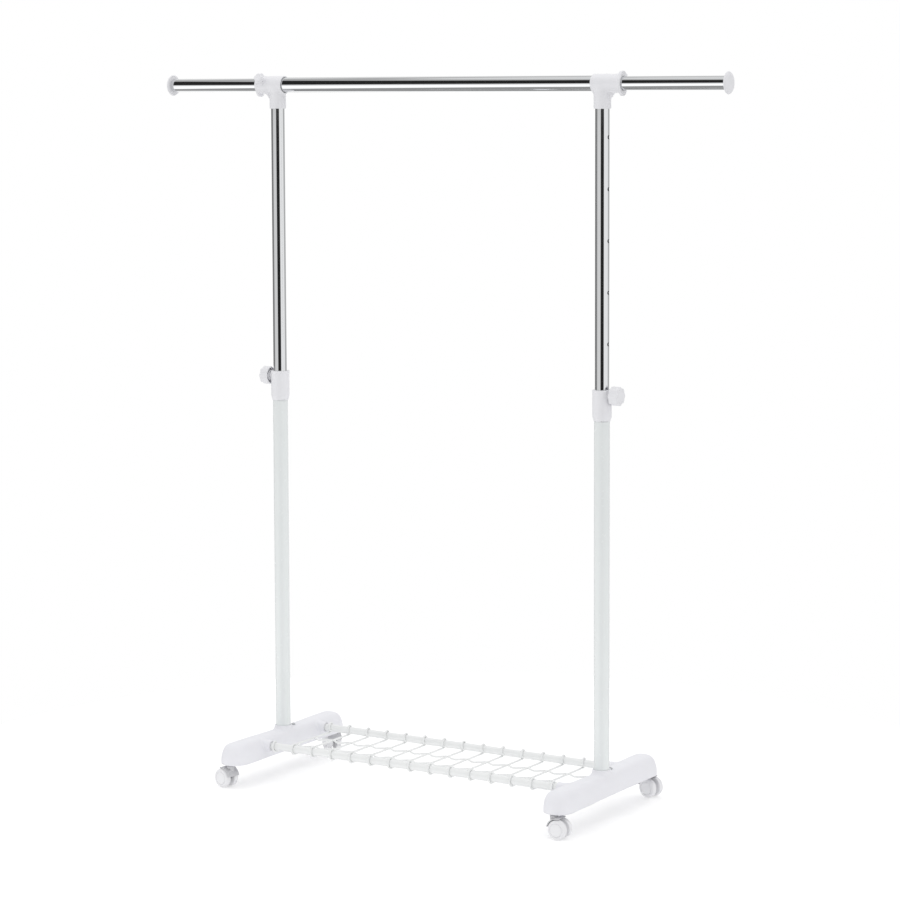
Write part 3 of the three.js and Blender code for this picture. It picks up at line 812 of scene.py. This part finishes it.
def spring_path():
    """A compression spring whose end coils lie closed."""
    wire_radius = 0.45
    radius = 4.9
    start, end = SPRING_LOW.x + wire_radius, SPRING_HIGH.x - wire_radius
    turns = 4.5
    closed = 0.75                            # turns that lie closed at each end
    steps = 28                               # in each turn
    path = []
    for i in range(int(turns * steps) + 1):
        turn = i / steps
        middle = np.clip((turn - closed) / (turns - 2 * closed), 0, 1)
        rise = wire_radius * (min(turn, closed) + max(turn - turns + closed, 0)) * 2
        free = end - start - 4 * wire_radius * closed
        angle = 2 * math.pi * turn
        path.append((start + rise + free * middle, radius * math.cos(angle), radius * math.sin(angle)))
    return path, wire_radius


def close_spring(spring):
    """Give the spring, which lies between the pin's flange, which moves, and the bush, which doesn't, a
    mesh of its own.
    """
    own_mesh(spring)


def bush_shape():
    outer = (BUSH_HIGH.z - BUSH_LOW.z) / 2
    ring = [(PIN_RADIUS + 0.4, BUSH_LOW.x), (outer, BUSH_LOW.x)]
    for i in range(4):
        z = BUSH_LOW.x + 0.6 + i
        ring += [(outer, z), (outer - 0.3, z + 0.5)]
    ring += [(outer, BUSH_HIGH.x), (PIN_RADIUS + 0.4, BUSH_HIGH.x), (PIN_RADIUS + 0.4, BUSH_LOW.x)]
    return lathe(rounded(ring, 0.2, 2), 48)


# ---------------------------------------------------------------- tees and rail locks

TEE = {"sleeve": 19.0, "skirt": 17.4, "ring": 6.0, "ear": 13.0, "ear_offset": 12.0}


def rail_lock_frame(side):
    """The rail lock's joint gives the place and direction of its screw."""
    joint = joints[f"{side}_rail_lock_turn"]
    return Vector(joint["pos_m"]) / MM, Vector(joint["axis"])


LOCK_AT, LOCK_AXIS = rail_lock_frame("right")
LOCK_TILT = math.atan2(LOCK_AXIS.y, LOCK_AXIS.z)
LOCK_X = LOCK_AT.x - POST_X
LOCK_PAD = 21.5
LOCK_HEAD = {"radius": 10.0, "start": 22.5, "end": 34.0}


def lock_local(p):
    """Points in the rail lock's frame, with its screw along Z and the rail's axis at zero."""
    y, z = p[:, 1], p[:, 2] - RAIL_Z
    c, s = math.cos(LOCK_TILT), math.sin(LOCK_TILT)
    return np.stack([p[:, 0] - LOCK_X, c * y - s * z, s * y + c * z], 1)


def tee_field(p):
    """The fitting that joins post, rail and extension rail."""
    x, y, z = p.T
    inboard, outboard = TEE_LOW.x, TEE_HIGH.x
    axis = (0, 0, RAIL_Z)
    sleeve = rod(p, "x", TEE["sleeve"], inboard, outboard - 1, axis, 1.2)
    skirt = rod(p, "z", TEE["skirt"], TEE_LOW.z, RAIL_Z, edge=1.4)
    body = join(sleeve, skirt, 5)
    up = z - RAIL_Z
    ring = np.hypot(y, up) - TEE["sleeve"]
    ears = np.hypot(y, np.abs(up) - TEE["ear_offset"]) - TEE["ear"]
    outline = join(ring, ears, 3)
    plate = np.maximum(outboard - TEE["ring"] - x, x - outboard)
    body = join(body, box_distance(outline, plate, 1.3), 1.2)
    low = RAIL_Z - TEE["sleeve"]
    slope = ((x - TEE["skirt"]) * 15 - (z - low + 13) * 12) / math.hypot(15, 12)
    web = np.maximum(np.maximum(slope, np.abs(y) - 3.4), np.maximum(z - low - 2, 15 - x))
    body = join(body, web, 2.5)
    turned = lock_local(p)
    body = join(body, rod(turned, "z", 7.5, 14, LOCK_PAD), 2.5)
    recess = block(p, (17, -4.5, RAIL_Z + 17.2), (30, 4.5, RAIL_Z + 30), 1.0)
    body = cut(body, recess, 0.8)
    holes = [
        rod(p, "z", MAST_RADIUS + GAP, -FAR, MAST_HIGH.z + 1),
        rod(p, "x", RAIL_RADIUS + GAP, -FAR, RAIL_HIGH.x - POST_X + 1, axis),
        rod(p, "x", EXTENSION_RADIUS + GAP, 0, FAR, axis),
        rod(turned, "z", SCREW_SHANK + GAP, 8, FAR),
    ]
    for hole in holes:
        body = cut(body, hole, 0.6)
    return body


def rail_lock_field(p):
    """A small thumb screw about Z, with its shank."""
    head = fluted(p, LOCK_HEAD["radius"], 1.3, 6, LOCK_HEAD["start"], LOCK_HEAD["end"], 1.6)
    radial = np.hypot(p[:, 0], p[:, 1])
    dish = np.sqrt(radial ** 2 + (p[:, 2] - LOCK_HEAD["end"] - 24) ** 2) - 24.7
    head = cut(head, dish, 0.6)
    x, y, z = p.T
    thread = thread_groove(x, y, z, 1.0, 0.2)
    shank = np.maximum(radial - SCREW_SHANK + thread, np.maximum(EXTENSION_RADIUS + 0.4 - z, z - 24))
    return join(head, shank, 0.5)


# ---------------------------------------------------------------- shelf

NET = {"wires": 15, "wire": 2.2, "line_y": 34.0, "wave": 7.0, "lean": 6.0}


def shelf_net_shape():
    """Cross wires that curl round both bars, welded to two wavy wires along the shelf."""
    count = NET["wires"]
    wire_radius = NET["wire"]
    loop = BAR_RADIUS + wire_radius + 0.15
    bottom = BAR_Z - loop
    length = NET_HIGH.x - NET_LOW.x - 2 * wire_radius
    pitch = length / (count - 1)
    parts = []
    for i in range(count):
        x = (i - (count - 1) / 2) * pitch
        path = []
        for end in (-1, 1):
            curl = []
            for step in range(25):
                turn = math.radians(-90 + 285 * step / 24)
                lean = NET["lean"] * (step / 24 - 0.25 * math.sin(math.pi * step / 24))
                y = end * (BAR_Y + loop * math.cos(turn))
                z = BAR_Z + loop * math.sin(turn)
                curl.append((x + end * lean, y, z))
            straight = [(x, end * BAR_Y * share, bottom) for share in (0.25, 0.5, 0.75, 0.92)]
            path = path[::-1] + straight + curl if end > 0 else straight + curl
        parts.append(wire(path, wire_radius, 10, (1, 0, 0)))
    for side in (-1, 1):
        line = []
        steps = (count - 1) * 12
        for i in range(steps + 1):
            x = (i / steps - 0.5) * length
            wave = NET["wave"] * math.cos(2 * math.pi * x / pitch)
            line.append((x, side * NET["line_y"] + wave, bottom + 0.4))
        parts.append(wire(line, wire_radius, 10, (0, 0, 1)))
    return joined(parts)


# ---------------------------------------------------------------- casters

def caster_frame(corner):
    """Place of a caster, from its joints: origin on the swivel axis, +X towards the wheels."""
    swivel = Vector(joints[f"{corner}_swivel_turn"]["pos_m"])
    axle = joints[f"{corner}_wheel_1_roll"]["axis"]
    heading = math.atan2(-axle[0], axle[1])
    return Matrix.Translation((swivel.x, swivel.y, 0)) @ Matrix.Rotation(heading, 4, "Z")


WHEEL = {"radius": AXLE_Z, "inner": 5.2, "outer": 18.0, "bore": 2.8, "bore_end": 15.3}
GUARD = {"inner": 20.9, "outer": 23.2, "half": 16.0, "from": 78, "to": 168}


def hood_field(p):
    """The hood: a web between the wheels, a mudguard over them, and the swivel's housing."""
    x, y, z = p[:, 0] - TRAIL, p[:, 1], p[:, 2] - AXLE_Z
    along = np.clip((-x * TRAIL + z * 20) / (TRAIL ** 2 + 400), 0, 1)
    spine = np.hypot(x + TRAIL * along, z - 20 * along) - (8 - along)
    web = box_distance(spine, np.abs(y) - 4.6, 0.8)
    radial = np.hypot(x, z)
    middle = (GUARD["inner"] + GUARD["outer"]) / 2
    shell = np.abs(radial - middle) - (GUARD["outer"] - GUARD["inner"]) / 2
    angle = np.degrees(np.arctan2(z, x))
    ends = np.radians(np.maximum(GUARD["from"] - angle, angle - GUARD["to"])) * radial
    ends = np.where(z < -5, 30, ends)
    guard = box_distance(np.maximum(shell, ends), np.abs(y) - GUARD["half"], 0.7)
    body = join(web, guard, 2)
    body = join(body, rod(p, "z", 8.5, 41.4, HOOD_TOP, edge=0.8), 1.2)
    body = cut(body, rod(p, "z", 3.3, 32, 80), 0.4)
    return cut(body, rod(p, "y", WHEEL["bore"], -30, 30, (TRAIL, 0, AXLE_Z)), 0.4)


def stem_shape():
    low = STEM_LOW.z
    seat = HOOD_TOP + GAP
    neck, radius = 3.0, STEM_RADIUS
    profile = [(0, low), (neck - 0.6, low), (neck, low + 0.8), (neck, seat), (radius, seat),
               (radius, seat + 5), (radius - 0.5, seat + 5.6), (radius - 0.5, seat + 7),
               (radius, seat + 7.6), (radius, STEM_TOP - 1.5), (radius - 1.5, STEM_TOP), (0, STEM_TOP)]
    return lathe(rounded(profile, 0.4, 3), 48)


def axle_shape():
    half = WHEEL["bore_end"] - GAP
    radius = WHEEL["bore"] - GAP
    profile = [(0, -half), (radius - 0.6, -half), (radius, 0.6 - half), (radius, half - 0.6),
               (radius - 0.6, half), (0, half)]
    return lathe(rounded(profile, 0.3, 3), 32)


def wheel_shape(side):
    """A twin wheel's half: a crowned tread, a domed face, and an inset cap disc."""
    radius, inner, outer = WHEEL["radius"], WHEEL["inner"], WHEEL["outer"]
    bore, bore_end = WHEEL["bore"], WHEEL["bore_end"]
    cap, groove = 13.2, 0.9
    profile = [(0, bore_end), (bore, bore_end), (bore, inner + 1.2), (8, inner + 1.2), (9, inner),
               (radius - 1.2, inner), (radius - 0.15, inner + 1.4), (radius, (inner + outer) / 2),
               (radius - 0.15, outer - 4.2), (radius - 1.4, outer - 1.6), (cap + 2.4, outer - 0.5),
               (cap + 0.7, outer - 0.6), (cap + 0.5, outer - groove - 0.7), (cap, outer - groove - 0.7),
               (cap - 0.2, outer - 0.5), (cap * 0.5, outer - 0.1), (0, outer)]
    points, faces = lathe(rounded(profile, 0.5, 3), 72)
    points[:, 2] *= side
    if side < 0:
        faces = [face[::-1] for face in faces]
    return along_y(points) + (TRAIL, 0, AXLE_Z), faces


# ---------------------------------------------------------------- assembly

def build_sides():
    foot = moulded(foot_field, FOOT_LOW, (*FOOT_HIGH.xy, FOOT_HIGH.z + 8), 1.5)
    collar = moulded(collar_field, COLLAR_LOW, COLLAR_HIGH, 0.9)
    knob = moulded(knob_field, (-KNOB_RADIUS, -KNOB_RADIUS, KNOB_LOW.x),
                   (KNOB_RADIUS, KNOB_RADIUS, KNOB_HIGH.x), 0.7)
    tee = moulded(tee_field, TEE_LOW, TEE_HIGH, 0.95)
    lock_reach = LOCK_HEAD["radius"]
    lock = moulded(rail_lock_field, (-lock_reach, -lock_reach, EXTENSION_RADIUS),
                   (lock_reach, lock_reach, LOCK_HEAD["end"]), 0.5)
    screw = moulded(screw_field, SCREW_LOW, SCREW_HIGH, 0.3)
    bolt = moulded(bolt_field, BOLT_LOW, BOLT_HIGH, 0.45)
    lower = lathe(tube_profile(POST_RADIUS, POST_RADIUS - WALL, POST_LOW.z, POST_HIGH.z))
    holes = [LOCK_Z + HOLE_PITCH * (i - 1) for i in range(HOLE_COUNT)]
    upper = holed_tube(MAST_RADIUS, WALL, MAST_LOW.z, MAST_HIGH.z, HOLE_RADIUS, holes)
    mast_stem = MAST_RADIUS - WALL - GAP
    post_glide = glide(MAST_RADIUS, mast_stem, MAST_LOW.z - 5, MAST_LOW.z - GAP, MAST_LOW.z + 20)
    plug = lathe(tube_profile(PLUG_HIGH.x, BOLT_SHANK + GAP, PLUG_LOW.z, PLUG_HIGH.z, 1.0), 48)
    extension = lathe(tube_profile(EXTENSION_RADIUS, EXTENSION_RADIUS - WALL,
                                   EXTENSION_LOW.x, EXTENSION_HIGH.x))
    rail_glide = glide(RAIL_RADIUS - WALL - GAP, EXTENSION_RADIUS - WALL - GAP,
                       EXTENSION_LOW.x - 5, EXTENSION_LOW.x - GAP, EXTENSION_LOW.x + 20)
    spring = wire(*spring_path(), 10)
    lifted = (0, 0, LOCK_Z)
    on_rail = (0, 0, RAIL_Z)
    shapes = {
        "height_collar": collar,
        "tee": tee,
        "lower_post": lower,
        "upper_post": upper,
        "post_glide": post_glide,
        "post_plug": plug,
        "post_bolt": bolt,
        "height_knob": laid(knob, lifted),
        "lock_pin": laid(pin_shape(), lifted),
        "lock_spring": (spring[0] + lifted, spring[1]),
        "knob_bush": laid(bush_shape(), lifted),
        "extension_rail": laid(extension, on_rail),
        "rail_glide": laid(rail_glide, on_rail),
        "end_cap": laid(end_cap_shape(), on_rail),
    }
    lock_turn = (Matrix.Translation((LOCK_X * MM, 0, RAIL_Z * MM))
                 @ Matrix.Rotation(-LOCK_TILT, 4, "X"))
    mirror = Matrix.Scale(-1, 4, (1, 0, 0))
    shift = Matrix.Translation((POST_X * MM, 0, 0))
    for side in SIDES:
        place = side_place(side)
        pieces = {name: make_piece(f"{side}_{name}", *shape, place)
                  for name, shape in shapes.items()}
        close_spring(pieces["lock_spring"])
        make_piece(f"{side}_rail_lock", *lock, place @ lock_turn)
        # both screws are behind the posts, so the left foot is the right one mirrored
        foot_place = mirror @ shift if side == "left" else shift
        make_piece(f"{side}_foot", *foot, foot_place)
        make_piece(f"{side}_foot_screw", *screw, foot_place)


def build_rails_and_shelf():
    rail = lathe(tube_profile(RAIL_RADIUS, RAIL_RADIUS - WALL, RAIL_LOW.x, RAIL_HIGH.x))
    make_piece("main_rail", *laid(rail, (0, 0, RAIL_Z)))
    bar = lathe(tube_profile(BAR_RADIUS, BAR_RADIUS - WALL, BAR_LOW.x, BAR_HIGH.x), 64)
    for name, y in (("shelf_front_bar", -BAR_Y), ("shelf_rear_bar", BAR_Y)):
        make_piece(name, *laid(bar, (0, y, BAR_Z)))
    make_piece("shelf_net", *shelf_net_shape())


def build_casters():
    reach = GUARD["outer"]
    hood = moulded(hood_field, (TRAIL - reach, -GUARD["half"], 5),
                   (TRAIL + reach, GUARD["half"], HOOD_TOP), 0.8)
    stem = stem_shape()
    axle, axle_faces = axle_shape()
    for corner in CORNERS:
        place = caster_frame(corner)
        make_piece(f"{corner}_caster_hood", *hood, place)
        make_piece(f"{corner}_caster_stem", *stem, place)
        make_piece(f"{corner}_caster_axle", along_y(axle) + (TRAIL, 0, AXLE_Z), axle_faces, place)
        make_piece(f"{corner}_caster_wheel_1", *wheel_shape(1), place)
        make_piece(f"{corner}_caster_wheel_2", *wheel_shape(-1), place)


build_sides()
build_rails_and_shelf()
build_casters()


# ---------------------------------------------------------------- studio

def ramp(tree, source, stops):
    """Brightness by position along a colour ramp; stops are (position, brightness)."""
    made = tree.nodes.new("ShaderNodeValToRGB")
    elements = made.color_ramp.elements
    while len(elements) < len(stops):
        elements.new(0.5)
    for element, (position, value) in zip(elements, stops):
        element.position = position
        element.color = (value, value, value, 1)
    tree.links.new(source, made.inputs["Fac"])
    return made.outputs["Color"]


def calculate(tree, operation, *values):
    made = tree.nodes.new("ShaderNodeMath")
    made.operation = operation
    for i, value in enumerate(values):
        if isinstance(value, (int, float)):
            made.inputs[i].default_value = value
        else:
            tree.links.new(value, made.inputs[i])
    return made.outputs[0]


def band_stops(bands, span, soft):
    """Stops for brightness bands given as (start, brightness), softened at each change."""
    low, high = span
    stops = [(0.0, bands[0][1])]
    for (_, before), (start, after) in zip(bands, bands[1:]):
        at = (start - low) / (high - low)
        stops.append((at - soft, before))
        stops.append((at + soft, after))
    return stops


# Softboxes and dark flags that only gloss sees: heights between which they stand, in degrees above
# the horizon, and (degrees from +X, brightness onwards from there) round the rack.
GLOSS_BANDS = (
    (-42, -10, [(-180, 0.25), (-168, 1.3), (-98, 0.05), (-40, 0.95), (40, 0.45), (80, 1.1),
                (150, 0.25)]),
    (-10, 2, [(-180, 0.25), (-150, 0.75), (-88, 0.02), (-36, 0.95), (40, 0.5), (92, 1.0),
              (122, 0.2)]),
    (2, 45, [(-180, 0.5), (-168, 0.02), (-95, 0.5), (-40, 0.9), (30, 0.3), (85, 0.8), (160, 0.3)]),
)
GLOSS_BY_HEIGHT = [(-90, 0.35), (-42, 0.0), (45, 0.5), (56, 0.8)]
EDGE_BY_HEIGHT = 0.014         # softness of a band's edges, as a share of the ramp
EDGE_BY_TURN = 0.009


def gloss_light(tree, height, turn):
    """What gloss sees: plain light above and below, with the bands of flags between."""
    heights = (-90, 90)
    gloss = ramp(tree, height, band_stops(GLOSS_BY_HEIGHT, heights, EDGE_BY_HEIGHT))
    for low, high, bands in GLOSS_BANDS:
        only_here = [(-90, 0.0), (low, 1.0), (high, 0.0)]
        mask = ramp(tree, height, band_stops(only_here, heights, EDGE_BY_HEIGHT))
        lit = ramp(tree, turn, band_stops(bands, (-180, 180), EDGE_BY_TURN))
        gloss = blended(tree, gloss, blended(tree, lit, mask, "MULTIPLY"), "ADD")
    return gloss


def soft_light(tree, height, x, y):
    """What matt surfaces see: brighter above, and behind the rack, which rims the posts."""
    soft = ramp(tree, height, [(0.0, 0.8), (0.5, 0.88), (0.67, 0.95), (0.83, 1.12), (1.0, 1.2)])
    behind = calculate(tree, "ADD", calculate(tree, "MULTIPLY", x, -0.09),
                       calculate(tree, "MULTIPLY", y, 0.15))
    shaded = tree.nodes.new("ShaderNodeVectorMath")
    shaded.operation = "SCALE"
    tree.links.new(soft, shaded.inputs[0])
    tree.links.new(calculate(tree, "ADD", behind, 1.0), shaded.inputs["Scale"])
    return shaded.outputs[0]


def studio_world():
    """A white studio, with softboxes and flags that give the chrome its stripes."""
    world = bpy.data.worlds.new("studio")
    world.use_nodes = True
    bpy.context.scene.world = world
    tree = world.node_tree
    tree.nodes.clear()
    where = tree.nodes.new("ShaderNodeTexCoord")
    split = tree.nodes.new("ShaderNodeSeparateXYZ")
    tree.links.new(where.outputs["Generated"], split.inputs[0])
    x, y, z = split.outputs
    elevation = calculate(tree, "DIVIDE", calculate(tree, "ARCSINE", z), math.pi)
    height = calculate(tree, "ADD", elevation, 0.5)
    turn = calculate(tree, "DIVIDE", calculate(tree, "ARCTAN2", y, x), 2 * math.pi)
    turn = calculate(tree, "ADD", turn, 0.5)
    path = tree.nodes.new("ShaderNodeLightPath")
    lit = blended(tree, soft_light(tree, height, x, y), gloss_light(tree, height, turn),
                  share=path.outputs["Is Glossy Ray"])
    seen = blended(tree, lit, (1, 1, 1, 1), share=path.outputs["Is Camera Ray"])
    background = tree.nodes.new("ShaderNodeBackground")
    output = tree.nodes.new("ShaderNodeOutputWorld")
    tree.links.new(seen, background.inputs["Color"])
    tree.links.new(background.outputs[0], output.inputs["Surface"])


def studio_floor():
    """A pale floor that is only just brighter than white, so that it keeps a faint shadow."""
    points, faces = lathe([(0, 0), (0.3, 0), (0.6, 0), (0.9, 0), (1.2, 0)], 64)
    mesh = bpy.data.meshes.new("studio_floor")
    mesh.from_pydata(points.tolist(), [], faces)
    floor = bpy.data.objects.new("studio_floor", mesh)
    bpy.context.scene.collection.objects.link(floor)
    made, tree, shader = nodes_of("floor")
    tint(tree, shader, (0.8, 0.8, 0.8), 0.99, noise(tree, 3))
    shader.inputs["Roughness"].default_value = 0.9
    shader.inputs["Specular IOR Level"].default_value = 0
    shader.inputs["Emission Color"].default_value = (1, 1, 1, 1)
    shader.inputs["Emission Strength"].default_value = 0.3
    mesh.materials.append(made)
    floor.visible_glossy = False


def studio_light():
    """One wide soft light, high and a little to the left of the camera."""
    data = bpy.data.lights.new("key", "AREA")
    data.shape = "RECTANGLE"
    data.size, data.size_y = 3.2, 2.4
    data.energy = 9
    key = bpy.data.objects.new("key", data)
    bpy.context.scene.collection.objects.link(key)
    key.location = (-1.6, -3.0, 3.6)
    aim = Vector((0, 0, 0.5)) - key.location
    key.rotation_euler = aim.to_track_quat("-Z", "Y").to_euler()
    key.visible_glossy = False


def studio_camera():
    """A long lens at the height of the rail, right of the front and tilted slightly down."""
    data = bpy.data.cameras.new("camera")
    data.lens = 111.32
    data.shift_x, data.shift_y = -0.0223, -0.12
    data.clip_start, data.clip_end = 0.1, 100
    camera = bpy.data.objects.new("camera", data)
    bpy.context.scene.collection.objects.link(camera)
    turn, pitch, roll = 2.1186, 0.0894, 0.003
    forward = Vector((math.cos(turn) * math.cos(pitch), math.sin(turn) * math.cos(pitch),
                      -math.sin(pitch)))
    camera.rotation_mode = "QUATERNION"
    tilt = Matrix.Rotation(roll, 3, forward).to_quaternion()
    camera.rotation_quaternion = tilt @ forward.to_track_quat("-Z", "Y")
    camera.location = (3.049, -4.8596, 1.4608)
    bpy.context.scene.camera = camera


studio_world()
studio_floor()
studio_light()
studio_camera()
bpy.context.scene.view_settings.view_transform = "Standard"
bpy.context.scene.view_settings.look = "None"
